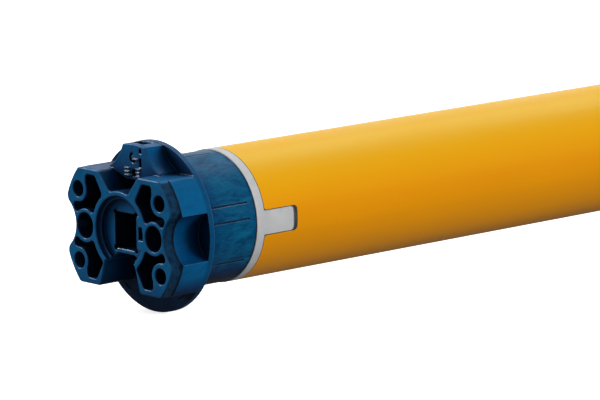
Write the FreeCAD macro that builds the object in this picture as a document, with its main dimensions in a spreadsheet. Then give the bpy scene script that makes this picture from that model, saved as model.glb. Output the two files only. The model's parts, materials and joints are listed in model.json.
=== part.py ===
import FreeCAD, Part
import Sketcher
import math
import os
import re

# Roller shutter motor with a star head. The frame's origin is the centre of the head's front face,
# +X runs along the motor's axis to the output shaft, and +Z is up.

SIZES = {
    # star head
    "rim_front": 14.8, "rim_back": 16.8, "rim_radius": 28.7,
    "lobe_step": 4.2, "lobe_inset": 0.35, "lobe_top": 19.3, "head_round": 0.45, "tip_round": 3.0,
    "screw_hole_y": 20.785, "screw_hole_z": 12.0, "screw_hole_radius": 2.65, "boss_radius": 4.4,
    "side_hole_y": 17.5, "side_hole_width": 8.0, "side_hole_height": 8.6, "side_hole_depth": 14.0,
    "hub_radius": 13.6, "counterbore_radius": 12.0, "counterbore_depth": 3.0, "ledge": 1.1,
    "seat_width": 11.0, "seat_height": 12.4, "seat_depth": 15.4, "seat_relief": 0.9,
    "scoop_centre": 31.9, "scoop_radius": 9.1, "scoop_wall": 1.3, "wall": 1.8, "pocket_floor": 13.0,
    "bay_half_width": 5.0, "bay_top": -7.5, "bay_bottom": -19.4, "bay_back": 22.0,
    "mouth_half_width": 6.4, "mouth_back": 13.0, "mouth_round": 3.0,
    "nib_reach": 9.6, "latch_front": 2.0, "latch_back": 9.0, "latch_inner": 6.5, "latch_outer": 11.2,
    "latch_bottom": -3.5, "latch_top": 5.6,
    "tower_front": 7.0, "tower_radius": 28.5, "tower_half_width": 5.6, "tower_foot": 12.6,
    "tower_round": 0.5, "mark_depth": 1.0, "hook_radius": 1.8, "hook_bore": 0.65, "tally_width": 1.35,
    "star_z": 18.9, "star_radius": 1.8, "star_waist": 1.05, "star_depth": 3.0, "rib_height": 0.55,
    "rib_width": 0.36,
    # neck, crown ring and torque ring
    "neck_radius": 20.2, "neck_step": 34.0, "neck_end": 40.7, "neck_tail_radius": 18.7,
    "neck_bore": 13.0, "crown_start": 17.0, "crown_end": 40.62, "crown_radius": 22.2,
    "crown_bore": 20.25, "crown_web": 35.2, "ring_start": 40.7, "tube_start": 44.3,
    "ring_chamfer": 0.3, "ring_ledge": 1.5, "spigot_end": 60.0, "spigot_bore": 18.6,
    "tab_half_width": 4.0, "tab_end": 56.7, "tab_round": 1.0,
    "slot_half_width": 4.3, "slot_end": 58.5, "slot_round": 1.5, "slot_mouth_round": 0.8,
    "limit_rod_gap": 0.2,
    # cable socket
    "socket_front": 18.1, "socket_back": 21.8, "pin_radius": 0.6, "pin_front": 13.0, "pin_back": 21.9,
    # tube
    "tube_radius": 22.5, "tube_wall": 1.2, "tube_end": 478.0, "inner_radius": 21.2,
    # limit mechanism
    "limit_front": 60.2, "limit_rear": 122.0, "limit_plate": 3.0, "spindle_z": -14.7,
    "spindle_radius": 2.0, "limit_rod_y": 16.6, "limit_rod_radius": 1.5, "running_gap": 0.05,
    "nut_middle": 92.5, "nut_length": 8.0,
    # terminal board and capacitor
    "board_end": 162.0, "board_bottom": -9.0, "board_top": -7.4, "board_half_width": 17.0,
    "tag_start": 163.0, "capacitor_start": 166.0, "capacitor_end": 224.0, "capacitor_radius": 15.0,
    "sleeve_length": 10.0, "sleeve_inset": 4.0,
    # motor
    "stator_start": 242.0, "stator_end": 322.0, "air_gap": 0.3, "rotor_radius": 11.0,
    "shaft_radius": 4.0, "bush_radius": 7.0, "bush_gap": 0.04, "end_turn_length": 7.0,
    "bell_start": 228.0, "bell_floor": 232.0, "bell_bore": 18.4, "front_bush_end": 236.0,
    "rear_bush_start": 330.0, "rear_bell_floor": 332.0, "end_ring_radius": 10.6, "end_ring_bore": 6.4,
    "shaft_start": 226.0, "shaft_step": 359.0, "shaft_end": 376.5, "shaft_tail_radius": 2.5,
    # brake
    "brake_start": 338.0, "brake_end": 361.6, "brake_wall": 3.0, "coil_bore": 10.4, "coil_radius": 18.6,
    "coil_end": 349.0, "armature_start": 351.0, "armature_end": 354.0, "armature_radius": 17.5,
    "disc_radius": 15.5, "disc_gap": 0.3,
    # planetary gears
    "gear_start": 362.0, "gear_end": 432.0, "planet_orbit": 11.475, "planet_pin": 1.8,
    # output
    "output_radius": 8.0, "output_bush_radius": 10.5, "inner_bush_end": 444.0,
    "outer_bush_start": 472.0, "lip_end": 481.0, "boss_end": 485.0, "boss_bore": 13.0,
    "hexagon_flats": 13.4, "hexagon_end": 504.0, "nose_end": 514.0, "nose_radius": 5.5,
}

os.makedirs("parts", exist_ok=True)
doc = FreeCAD.newDocument("RollerShutterMotor")
sheet = doc.addObject("Spreadsheet::Sheet", "Sizes")
for row, (alias, number) in enumerate(SIZES.items(), start=1):
    sheet.set(f"A{row}", alias)
    sheet.set(f"B{row}", str(number))
    sheet.setAlias(f"B{row}", alias)
doc.recompute()

ALONG_X = FreeCAD.Rotation(FreeCAD.Vector(0, 1, 0), 90)
X_AXIS = FreeCAD.Vector(1, 0, 0)
Z_AXIS = FreeCAD.Vector(0, 0, 1)
nodes = {}
made = {}


def size(alias):
    """The sheet's number for one driving dimension."""
    return float(getattr(sheet, alias))


def formula(text):
    """An expression whose words are the sheet's aliases."""
    return re.sub(r"[a-z]\w+", lambda word: f"Sizes.{word.group()}", str(text))


def label(obj, name):
    """Make an object a sub-part: its Label names its file."""
    obj.Label = name
    nodes[name] = obj
    return obj


def unused(name):
    """A name that no object has yet."""
    made[name] = made.get(name, 0) + 1
    return f"{name}_{made[name]}"


def rod(radius, start, end, y=0, z=0):
    """A cylinder along X."""
    solid = doc.addObject("Part::Cylinder", unused("rod"))
    solid.Placement.Rotation = ALONG_X
    solid.setExpression("Radius", formula(radius))
    solid.setExpression("Height", formula(f"({end}) - ({start})"))
    solid.setExpression("Placement.Base.x", formula(start))
    solid.setExpression("Placement.Base.y", formula(y))
    solid.setExpression("Placement.Base.z", formula(z))
    return solid


def block(x, y, z):
    """A box between (low, high) pairs along X, Y and Z."""
    solid = doc.addObject("Part::Box", unused("block"))
    for prop, (low, high) in zip(("Length", "Width", "Height"), (x, y, z)):
        solid.setExpression(prop, formula(f"({high}) - ({low})"))
    for prop, (low, _) in zip("xyz", (x, y, z)):
        solid.setExpression(f"Placement.Base.{prop}", formula(low))
    return solid


def fuse(*solids):
    """One solid from several."""
    if len(solids) == 1:
        return solids[0]
    joined = doc.addObject("Part::MultiFuse", unused("fuse"))
    joined.Shapes = list(solids)
    joined.Refine = True
    return joined


def cut(base, *tools):
    """A solid with tools taken out of it."""
    result = doc.addObject("Part::Cut", unused("cut"))
    result.Base = base
    result.Tool = fuse(*tools)
    result.Refine = True
    return result


def together(*solids):
    """Separate solids that share one node."""
    group = doc.addObject("Part::Compound", unused("group"))
    group.Links = list(solids)
    return group


def sleeve(outer, inner, start, end, y=0, z=0):
    """A plain ring along X."""
    return cut(rod(outer, start, end, y, z), rod(inner, f"({start}) - 1", f"({end}) + 1", y, z))


def plane_of(body, role):
    """A body's own origin plane."""
    return next(item for item in body.Origin.OriginFeatures if item.Role == role)


def draw_profile(sketch, corners):
    """A closed outline of (along, across) formulas, each corner placed by its own dimensions."""
    rough = []
    for corner in corners:
        numbers = [worked_out(text) for text in corner]
        rough.append(FreeCAD.Vector(numbers[0], numbers[1], 0))
    for start, end in zip(rough, rough[1:] + rough[:1]):
        sketch.addGeometry(Part.LineSegment(start, end), False)
    for i in range(len(rough)):
        after = (i + 1) % len(rough)
        sketch.addConstraint(Sketcher.Constraint("Coincident", i, 2, after, 1))
    for i, corner in enumerate(corners):
        for kind, text, number in zip(("DistanceX", "DistanceY"), corner, rough[i]):
            if abs(number) < 1e-9:
                axis = -2 if kind == "DistanceX" else -1
                sketch.addConstraint(Sketcher.Constraint("PointOnObject", i, 1, axis))
                continue
            if number > 0:
                rule = Sketcher.Constraint(kind, -1, 1, i, 1, number)
                text = f"({text})"
            else:
                rule = Sketcher.Constraint(kind, i, 1, -1, 1, -number)
                text = f"-({text})"
            index = sketch.addConstraint(rule)
            sketch.setExpression(f"Constraints[{index}]", formula(text))


def worked_out(text):
    """The number that a formula of aliases comes to."""
    total = 0.0
    for sign, word in re.findall(r"([+-]?)\s*([\w.]+)", str(text)):
        number = size(word) if word[0].isalpha() else float(word)
        total += -number if sign == "-" else number
    return total


def turned(corners):
    """A body turned about the motor's axis from an outline of (x, radius) formulas."""
    body = doc.addObject("PartDesign::Body", unused("body"))
    sketch = body.newObject("Sketcher::SketchObject", unused("profile"))
    sketch.AttachmentSupport = [(plane_of(body, "XZ_Plane"), "")]
    sketch.MapMode = "FlatFace"
    draw_profile(sketch, corners)
    revolution = body.newObject("PartDesign::Revolution", unused("revolution"))
    revolution.Profile = sketch
    revolution.ReferenceAxis = (sketch, ["H_Axis"])
    revolution.Angle = 360.0
    return body


def spot(y, z, x=0.0):
    """A point of the frame from its place across the axis."""
    return FreeCAD.Vector(x, y, z)


def prism(points, start, end):
    """A straight-sided solid along X from an outline of (y, z) points."""
    corners = [spot(y, z, start) for y, z in points]
    face = Part.Face(Part.makePolygon(corners + corners[:1]))
    return face.extrude(FreeCAD.Vector(end - start, 0, 0))


def bar(radius, start, end, y=0.0, z=0.0):
    """A plain cylinder along X as a shape."""
    return Part.makeCylinder(radius, end - start, spot(y, z, start), X_AXIS)


def hexagon(across_flats):
    """The corners of a hexagon with two of them on the Y axis."""
    radius = across_flats / math.sqrt(3)
    return [(radius * math.cos(math.radians(a)), radius * math.sin(math.radians(a)))
            for a in range(0, 360, 60)]


def feature(name, shape):
    """A sub-part whose outline needs Part's own functions."""
    obj = doc.addObject("Part::Feature", unused("feature"))
    place = shape.Placement
    obj.Shape = shape
    obj.Placement = place
    return label(obj, name)


# ---------------------------------------------------------------- gears
PRESSURE_ANGLE = math.radians(25)
BACKLASH = 0.08


def involute(angle):
    """How far an involute has turned where its pressure angle is this one."""
    return math.tan(angle) - angle


def gear_points(teeth, module, tip, root, gap, phase=0.0):
    """A gear's outline. gap narrows each tooth at the pitch circle; a negative gap widens it."""
    pitch = teeth * module / 2
    base = pitch * math.cos(PRESSURE_ANGLE)
    half = math.pi / (2 * teeth) - gap / (2 * pitch) + involute(PRESSURE_ANGLE)
    start = max(base * 1.0005, root)
    flank = []
    if root < base:
        flank.append((root, half - involute(math.acos(base / start))))
    for step in range(3):
        radius = start + (tip - start) * step / 2
        flank.append((radius, half - involute(math.acos(base / radius))))
    points = []
    for tooth in range(teeth):
        middle = phase + 2 * math.pi * tooth / teeth
        points += [(r, middle - a) for r, a in flank]
        points += [(r, middle + a) for r, a in reversed(flank)]
    return [(r * math.cos(a), r * math.sin(a)) for r, a in points]


def gear(teeth, module, start, end, bore, y=0.0, z=0.0, phase=0.0):
    """An outside gear along X with a plain bore."""
    pitch = teeth * module / 2
    outline = gear_points(teeth, module, pitch + module, pitch - 1.25 * module, BACKLASH, phase)
    solid = prism([(y + py, z + pz) for py, pz in outline], start, end)
    return solid.cut(bar(bore, start - 1, end + 1, y, z))


def teeth_tool(teeth, module, addendum, start, end):
    """The solid that cuts an inside gear's spaces, and everything within its tip circle."""
    pitch = teeth * module / 2
    outline = gear_points(teeth, module, pitch + 1.25 * module, pitch - addendum, -BACKLASH)
    return prism(outline, start, end)


# ---------------------------------------------------------------- star head
HEAD_SCREW_ANGLES = (48, 132, -42, -138)
HEAD_SCREW_CIRCLE = 15.9
HEAD_SCREW_SHANK = 1.25
HEAD_SCREW_TIP = 26.0
PINION_BAY_RADIUS = 5.9
NIBS = [(2.9, 6.6), (-4.7, -1.3)]
STAR_RIBS = [(low, high, level) for low, high in ((1.9, 4.3), (-3.2, -1.5)) for level in (17.9, 19.1, 20.3)]
ARROW_SHAFT = (-2.2, 0.2, 23.5)
ARROW_MIDDLE = (0.45, 23.95)
TALLY_BARS = [(25.5, 27.2), (20.95, 24.0)]
TALLY_LEFT = -4.1


def four_ways(shape):
    """A shape mirrored about the XZ and XY planes, as a list of four."""
    across = shape.mirror(FreeCAD.Vector(), FreeCAD.Vector(0, 1, 0))
    pair = [shape, across]
    return pair + [item.mirror(FreeCAD.Vector(), FreeCAD.Vector(0, 0, 1)) for item in pair]


def two_ways(shape):
    """A shape and its mirror about the XZ plane."""
    return [shape, shape.mirror(FreeCAD.Vector(), FreeCAD.Vector(0, 1, 0))]


UPPER_GAP = [(-10.76, 20.3), (-3.95, 12.1), (3.95, 12.1), (10.76, 20.3)]
LOWER_GAP = [(-10.4, -20.3), (-8.6, -13.5), (-7.4, -9.8), (7.4, -9.8), (8.6, -13.5), (10.4, -20.3)]


def lobe_slab(rim, scoop, start, end):
    """A slice of the star: a disc cut flat above and below, with a scoop in each side and two gaps."""
    top = size("lobe_top")
    flats = Part.makeBox(end - start, 2 * rim, 2 * top, spot(-rim, -top, start))
    slab = bar(rim, start, end).common(flats)
    for side in (1, -1):
        slab = slab.cut(bar(scoop, start - 1, end + 1, side * size("scoop_centre")))
    upper_gap = prism(UPPER_GAP, start - 1, end + 1)
    lower_gap = prism(LOWER_GAP, start - 1, end + 1)
    slab = slab.cut(upper_gap.cut(bar(size("hub_radius"), start - 2, end + 2))).cut(lower_gap)
    for edge in [edge for edge in slab.Edges if runs_along(edge) and abs(edge.CenterOfMass.y) < 26]:
        slab = eased(slab, edge, (1.6, 0.9, 0.5))
    return slab


def lobe_block():
    """The star's four solid lobes. Their front slice is a little smaller, with round tips."""
    rim, inset, scoop = size("rim_radius"), size("lobe_inset"), size("scoop_radius")
    step, back = size("lobe_step"), size("rim_front")
    front = lobe_slab(rim - inset, scoop + inset, 0, step)
    tips = [edge for edge in front.Edges if runs_along(edge) and abs(edge.CenterOfMass.y) > 26]
    front = front.makeFillet(size("tip_round"), tips)
    whole = front.fuse(lobe_slab(rim, scoop, step, back + 0.5))
    behind = prism([(-9.9, 18.1), (-5.4, 12.6), (5.4, 12.6), (9.9, 18.1)], size("tower_front"), back)
    return whole.cut(behind.cut(bar(size("hub_radius"), 0, back + 1)))


def runs_along(edge):
    """Whether an edge is straight and lies along the motor's axis."""
    return edge.BoundBox.XLength > edge.Length - 1e-4


def tower_block():
    """The tower over the head, between the two upper lobes, with hollowed sides."""
    front, back = size("tower_front"), size("rim_front") + 0.5
    half, foot_y = size("tower_half_width"), size("tower_foot")
    side = Part.Arc(spot(half, 28.6), spot(half + 2.3, 24.0), spot(foot_y, 20.0)).toShape()
    far = Part.Arc(spot(-foot_y, 20.0), spot(-half - 2.3, 24.0), spot(-half, 28.6)).toShape()
    right = [(foot_y, 20.0), (foot_y + 0.9, 18.2), (8.0, 18.2), (4.0, 16.6)]
    left = [(-y, z) for y, z in reversed(right)]
    foot = Part.makePolygon([spot(y, z) for y, z in right + left])
    top = Part.LineSegment(spot(-half, 28.6), spot(half, 28.6)).toShape()
    outline = Part.Wire([side] + foot.Edges + [far, top])
    tower = Part.Face(outline).extrude(FreeCAD.Vector(back - front, 0, 0))
    tower.translate(FreeCAD.Vector(front, 0, 0))
    tower = tower.common(bar(size("tower_radius"), front - 1, back + 1))
    front_edges = [edge for edge in tower.Edges
                   if edge.BoundBox.XMax < front + 1e-5 and edge.CenterOfMass.z > 21]
    return tower.makeFillet(size("tower_round"), front_edges)


def lobe_pocket():
    """The deep hollow of the upper lobe on +Y: inside its walls, round its boss and its side hole."""
    wall, top = size("wall"), size("lobe_top")
    deep = size("pocket_floor")
    area = prism([(7.9, 10.4), (12.1, top - wall - 0.2), (16.9, top - wall - 0.2), (16.9, 14.0),
                  (27.5, 14.0), (27.5, 3.4), (8.4, 3.4)], -1, deep)
    area = area.common(bar(size("rim_radius") - size("lobe_inset") - wall, -1, deep))
    for keep in (
        bar(size("hub_radius") + 0.35, -2, deep + 1),
        bar(size("boss_radius"), -2, deep + 1, size("screw_hole_y"), size("screw_hole_z")),
        bar(size("side_hole_height") / 2 + 1.4, -2, deep + 1, size("side_hole_y")),
        bar(size("scoop_radius") + size("scoop_wall"), -2, deep + 1, size("scoop_centre")),
        prism([(size("screw_hole_y"), 12.0), (21.4, 7.5), (30.0, 7.5), (30.0, top), (17.6, top)],
              -2, deep + 1),
    ):
        area = area.cut(keep)
    for edge in [edge for edge in area.Edges if runs_along(edge)]:
        area = eased(area, edge, (1.3, 1.0, 0.7, 0.4))
    return area


def eased(shape, edge, radii):
    """A shape with one of its long edges rounded by the largest radius that fits."""
    middle = edge.CenterOfMass
    same = [item for item in shape.Edges if (item.CenterOfMass - middle).Length < 1e-4]
    for radius in radii:
        try:
            smooth = shape.makeFillet(radius, same)
        except Part.OCCError:
            continue
        if smooth.isValid():
            return smooth
    return shape


def obround(y, width, height, start, end):
    """A hole taller than wide."""
    spread = (height - width) / 2
    hole = bar(width / 2, start, end, y, spread).fuse(bar(width / 2, start, end, y, -spread))
    middle = Part.makeBox(end - start, width, 2 * spread, spot(y - width / 2, -spread, start))
    return hole.fuse(middle)


def square_seat():
    """The hole for a bracket's stud, with a small relief at each corner."""
    half_y, half_z = size("seat_width") / 2, size("seat_height") / 2
    deep, relief = size("seat_depth"), size("seat_relief")
    seat = Part.makeBox(deep, 2 * half_y, 2 * half_z, spot(-half_y, -half_z))
    return seat.multiFuse([bar(relief, 0, deep, side * (half_y - 0.2), way * (half_z - 0.2))
                           for side in (1, -1) for way in (1, -1)])


def cable_bay():
    """The way for the cable plug under the seat: a wide mouth, then an arch through to the neck."""
    half, bottom, back = size("bay_half_width"), size("bay_bottom"), size("bay_back")
    top, mouth_half = size("bay_top"), size("mouth_half_width")
    arch = top - half
    bay = Part.makeBox(back - 1, 2 * half, arch - bottom, spot(-half, bottom, 1))
    mouth = Part.makeBox(size("mouth_back") - 1, 2 * mouth_half, top - bottom, spot(-mouth_half, bottom, 1))
    corners = [edge for edge in mouth.Edges if runs_along(edge) and edge.CenterOfMass.z > arch]
    return bay.fuse(bar(half, 1, back, 0, arch)).fuse(mouth.makeFillet(size("mouth_round"), corners))


def turn_mark():
    """The engraved turning mark on the tower's face: a hooked arrow beside a bar in two lengths."""
    face, deep = size("tower_front"), size("mark_depth")
    y, z = ARROW_MIDDLE
    hook = bar(size("hook_radius"), face - 1, face + deep, y, z)
    hook = hook.cut(bar(size("hook_bore"), face - 2, face + 2, y, z))
    opening = prism([(y, z), (y - 0.4, z + 3), (y - 4, z + 3), (y - 4, z - 3), (y - 1.2, z - 3)],
                    face - 2, face + 2)
    tip = prism([(y - 0.6, z - 0.6), (y - 0.5, z - 2.1), (y - 1.7, z - 1.4)], face - 1, face + deep)
    mark = hook.cut(opening).fuse(tip)
    for low, high in TALLY_BARS:
        tally = Part.makeBox(1 + deep, size("tally_width"), high - low, spot(TALLY_LEFT, low, face - 1))
        mark = mark.fuse(tally)
    return mark


def tower_details():
    """What is taken out of the tower: the mark, a star recess and the pocket in its top."""
    face, deep = size("tower_front"), size("star_depth")
    corners = [at_angle(size("star_waist") if turn % 60 else size("star_radius"), turn)
               for turn in range(0, 360, 30)]
    star = prism([(y, size("star_z") + z) for y, z in corners], face - 1, face + deep)
    pocket = Part.makeBox(4.2, 6.0, 8.0, spot(-3.0, 26.0, 8.6))
    return [turn_mark(), pocket, star]


def tower_ribs():
    """The fine ribs on the tower's face: three each side of the star and the arrow's shaft."""
    face, height, width = size("tower_front"), size("rib_height"), size("rib_width")
    return [Part.makeBox(height + 0.25, high - low, width, spot(low, level - width / 2, face - height))
            for low, high, level in STAR_RIBS + [ARROW_SHAFT]]


def counterbore():
    """The stepped round recess at the head's centre, with two nibs that reach into it."""
    deep, radius, reach = size("counterbore_depth"), size("counterbore_radius"), size("nib_reach")
    recess = bar(radius, -1, deep / 2).fuse(bar(radius - size("ledge"), -1, deep))
    for low, high in NIBS:
        nib = Part.makeBox(deep + 2, radius + 1 - reach, high - low, spot(-radius - 1, low, -1))
        recess = recess.cut(nib)
    return recess


def latch_pocket():
    """The deep pocket beside the seat, behind the nibs."""
    front, inner, bottom = size("latch_front"), size("latch_inner"), size("latch_bottom")
    return Part.makeBox(size("latch_back") - front, size("latch_outer") - inner, size("latch_top") - bottom,
                        spot(-size("latch_outer"), bottom, front))


def neck():
    """The hollow neck that carries the crown ring."""
    back, step, end = size("rim_back"), size("neck_step"), size("neck_end")
    return bar(size("neck_radius"), back - 0.5, step).fuse(bar(size("neck_tail_radius"), step - 0.5, end))


def star_head():
    """The whole head moulding."""
    rim, front, back = size("rim_radius"), size("rim_front"), size("rim_back")
    rod_bore = size("limit_rod_radius") + size("limit_rod_gap")
    head = lobe_block().multiFuse([tower_block(), bar(rim, front, back), neck()])
    head = head.multiFuse(tower_ribs())
    tools = [counterbore(), latch_pocket(), square_seat(), cable_bay()]
    tools += tower_details() + four_ways(lobe_pocket())
    hole_y, hole_z = size("screw_hole_y"), size("screw_hole_z")
    tools += four_ways(bar(size("screw_hole_radius"), -1, size("pocket_floor"), hole_y, hole_z))
    side_hole = obround(size("side_hole_y"), size("side_hole_width"), size("side_hole_height"),
                        -1, size("side_hole_depth"))
    tools += two_ways(side_hole)
    past_end = size("neck_end") + 1
    tools += two_ways(bar(rod_bore, size("side_hole_depth") - 1, past_end, size("limit_rod_y")))
    tools.append(bar(size("neck_bore"), size("bay_back") - 0.5, past_end))
    tools.append(bar(PINION_BAY_RADIUS, size("crown_web") - 0.4, past_end, 0, size("spindle_z")))
    for angle in HEAD_SCREW_ANGLES:
        y, z = at_angle(HEAD_SCREW_CIRCLE, angle)
        tools.append(bar(HEAD_SCREW_SHANK, HEAD_SCREW_TIP, past_end, y, z))
    rim_groove = bar(26.2, front - 1, front + 0.5).cut(bar(25.6, front - 2, front + 2))
    for side in (1, -1):
        rays = [at_angle(40, -90 + side * angle) for angle in (28, 36)]
        wedge = prism([(0, 0)] + rays, front - 2, front + 2)
        tools.append(rim_groove.common(wedge))
    for tool in tools:
        head = head.cut(tool)
    return head


def at_angle(radius, degrees):
    """The (y, z) point at an angle from +Y towards +Z."""
    return radius * math.cos(math.radians(degrees)), radius * math.sin(math.radians(degrees))


def on_front(item):
    """Whether a face or an edge lies in the head's front plane."""
    return item.BoundBox.XMax < 1e-5


def rounded_front(shape):
    """Round each outline of the head's front face by the largest radius that it takes."""
    face = max([face for face in shape.Faces if on_front(face)], key=lambda face: face.Area)
    outlines = [[edge.CenterOfMass for edge in wire.Edges] for wire in face.Wires]
    for middles in outlines:
        for radius in (size("head_round"), 0.7 * size("head_round"), 0.5 * size("head_round")):
            edges = [edge for edge in shape.Edges if on_front(edge)
                     and any((edge.CenterOfMass - middle).Length < 1e-3 for middle in middles)]
            try:
                smooth = shape.makeFillet(radius, edges)
            except Part.OCCError:
                continue
            if smooth.isValid() and 0 < shape.Volume - smooth.Volume < 100:
                shape = smooth
                break
    return shape


feature("star_head", rounded_front(star_head()))


# ---------------------------------------------------------------- crown ring
CROWN_TEETH, PINION_TEETH, CROWN_MODULE = 56, 14, 0.7
CROWN_ADDENDUM = 0.6
CROWN_GROOVES = (98, 160, 174, 212.5, 278, 340, 354, 32.5)
GROOVE_LENGTH = 21.7


def crown_ring():
    """The drum round the neck, with inside teeth at its tube end and thin grooves along it."""
    start, web, end = size("crown_start"), size("crown_web"), size("crown_end")
    drum = bar(size("crown_radius"), start, end).cut(bar(size("crown_bore"), start - 1, web))
    drum = drum.cut(teeth_tool(CROWN_TEETH, CROWN_MODULE, CROWN_ADDENDUM, web - 0.5, end + 1))
    for angle in CROWN_GROOVES:
        groove = Part.makeBox(GROOVE_LENGTH, 1.0, 0.6, spot(size("crown_radius") - 0.35, -0.3, start - 1))
        groove.rotate(FreeCAD.Vector(), X_AXIS, angle)
        drum = drum.cut(groove)
    return drum


feature("crown_ring", crown_ring())

# ---------------------------------------------------------------- torque ring and tube
ring_blank = turned([
    ("ring_start", "8"), ("ring_start", "tube_radius"), ("tube_start - ring_chamfer", "tube_radius"),
    ("tube_start", "tube_radius - ring_chamfer"), ("tube_start", "inner_radius"),
    ("spigot_end", "inner_radius"), ("spigot_end", "spigot_bore"),
    ("tube_start + ring_ledge", "spigot_bore"), ("tube_start + ring_ledge", "8"),
])


def round_ended(solid, radius):
    """A box with its far corners rounded, as seen along Y."""
    doc.recompute()
    far = solid.Shape.BoundBox.XMax
    corners = [number for number, edge in enumerate(solid.Shape.Edges, start=1)
               if edge.CenterOfMass.x > far - 1e-4 and edge.BoundBox.ZLength < 1e-4]
    rounded = doc.addObject("Part::Fillet", unused("rounded"))
    rounded.Base = solid
    rounded.Edges = [(number, radius, radius) for number in corners]
    return rounded


tabs = []
for low_high in (("20", "tube_radius + 1"), ("-tube_radius - 1", "-20")):
    blank = block(("tube_start - 1", "tab_end"), low_high, ("-tab_half_width", "tab_half_width"))
    tab = doc.addObject("Part::Common", unused("tab"))
    tab.Base = round_ended(blank, size("tab_round"))
    tab.Tool = rod("tube_radius", "tube_start - 2", "tab_end + 2")
    tabs.append(tab)
ring_holes = [rod("limit_rod_radius + limit_rod_gap", "ring_start - 1", "tube_start + 3", y)
              for y in ("limit_rod_y", "-limit_rod_y")]
ring_holes.append(rod("spindle_radius + running_gap", "ring_start - 1", "tube_start + 3", 0, "spindle_z"))
for angle in HEAD_SCREW_ANGLES:
    y, z = at_angle(HEAD_SCREW_CIRCLE, angle)
    ring_holes.append(rod(HEAD_SCREW_SHANK + 0.1, "ring_start - 1", "tube_start + 3", y, z))
label(cut(fuse(ring_blank, *tabs), *ring_holes), "torque_ring")

head_screws = []
for angle in HEAD_SCREW_ANGLES:
    y, z = at_angle(HEAD_SCREW_CIRCLE, angle)
    shank = rod(HEAD_SCREW_SHANK, HEAD_SCREW_TIP, "tube_start + 2", y, z)
    cap = rod("2.4", "tube_start + ring_ledge", "tube_start + 3.5", y, z)
    head_screws.append(cut(fuse(shank, cap), rod("1.2", "tube_start + 2.5", "tube_start + 4", y, z)))
label(together(*head_screws), "head_screws")


TUBE_SCREW_RADIUS = 1.5
QUARTERS = (45, 135, 225, 315)
BELL_SCREWS = [(334.0, angle) for angle in QUARTERS]
HOUSING_SCREWS = [(462.0, angle) for angle in QUARTERS]
TUBE_SCREWS = BELL_SCREWS + HOUSING_SCREWS


def motor_tube():
    """The painted tube, with a slot for each tab and holes for its screws."""
    start, end, outer = size("tube_start"), size("tube_end"), size("tube_radius")
    tube = bar(outer, start, end).cut(bar(outer - size("tube_wall"), start - 1, end + 1))
    half, slot_end = size("slot_half_width"), size("slot_end")
    slot = Part.makeBox(slot_end - start + 1, 60, 2 * half, spot(-30, -half, start - 1))
    far = [edge for edge in slot.Edges
           if edge.BoundBox.YLength > 50 and edge.BoundBox.XMin > slot_end - 0.1]
    tube = tube.cut(slot.makeFillet(size("slot_round"), far))
    mouth = [edge for edge in tube.Edges
             if edge.BoundBox.XMax < start + 1e-5 and edge.BoundBox.ZLength < 1e-4]
    tube = tube.makeFillet(size("slot_mouth_round"), mouth)
    for x, angle in TUBE_SCREWS:
        hole = Part.makeCylinder(TUBE_SCREW_RADIUS + 0.1, 10, spot(0, 16, x), Z_AXIS)
        base = spot(0, outer - 1.6, x)
        sink = Part.makeCone(TUBE_SCREW_RADIUS, TUBE_SCREW_RADIUS + 2.2, 2.2, base, Z_AXIS)
        hole = hole.fuse(sink)
        hole.rotate(FreeCAD.Vector(), X_AXIS, angle)
        tube = tube.cut(hole)
    return tube


def tube_screws():
    """Countersunk screws, flush with the tube."""
    outer, seat = size("tube_radius"), size("inner_radius")
    rise = outer - 0.2 - seat
    screws = []
    for x, angle in TUBE_SCREWS:
        screw = Part.makeCylinder(TUBE_SCREW_RADIUS, seat - 16.8, spot(0, 17, x), Z_AXIS)
        head = Part.makeCone(TUBE_SCREW_RADIUS, TUBE_SCREW_RADIUS + rise, rise, spot(0, seat, x), Z_AXIS)
        screw = screw.fuse(head)
        for turn in (0, 90):
            drive = Part.makeBox(2.4, 0.5, 1.2, spot(-0.25, outer - 1.0, -1.2))
            drive.rotate(FreeCAD.Vector(), Z_AXIS, turn)
            drive.translate(spot(0, 0, x))
            screw = screw.cut(drive)
        screw.rotate(FreeCAD.Vector(), X_AXIS, angle)
        screws.append(screw)
    return Part.makeCompound(screws)


def screw_bores(shape, group):
    """A housing with the holes that its tube screws go into."""
    for x, angle in group:
        hole = Part.makeCylinder(TUBE_SCREW_RADIUS, 10, spot(0, 17, x), Z_AXIS)
        hole.rotate(FreeCAD.Vector(), X_AXIS, angle)
        shape = shape.cut(hole)
    return shape


feature("motor_tube", motor_tube())
feature("tube_screws", tube_screws())

# ---------------------------------------------------------------- cable socket
PIN_PLACES = [(-2.0, -11.6), (2.0, -11.6), (-2.0, -15.6), (2.0, -15.6)]
socket_block = block(("socket_front", "socket_back"), ("-bay_half_width + 0.1", "bay_half_width - 0.1"),
                     ("bay_bottom + 0.1", "bay_top - bay_half_width"))
socket_arch = rod("bay_half_width - 0.1", "socket_front", "socket_back", 0, "bay_top - bay_half_width")
pin_holes = [rod("pin_radius", "socket_front - 1", "socket_back + 1", y, z) for y, z in PIN_PLACES]
label(cut(fuse(socket_block, socket_arch), *pin_holes), "cable_socket")
pins = [rod("pin_radius", "pin_front", "pin_back", y, z) for y, z in PIN_PLACES]
label(together(*pins), "contact_pins")

# ---------------------------------------------------------------- limit mechanism
PINION_BORE = 1.5


def limit_pinion():
    """The small gear that the crown ring turns."""
    start, end = size("crown_web") + 0.2, size("crown_end") - 0.3
    return gear(PINION_TEETH, CROWN_MODULE, start, end, PINION_BORE, 0.0, size("spindle_z"), -math.pi / 2)


feature("limit_pinion", limit_pinion())
spindle_nose = rod(PINION_BORE, "crown_web - 0.2", "ring_start - 0.2", 0, "spindle_z")
spindle_stem = rod("spindle_radius", "ring_start - 0.2", "limit_rear + limit_plate - 0.5", 0, "spindle_z")
label(fuse(spindle_nose, spindle_stem), "limit_spindle")


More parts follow.
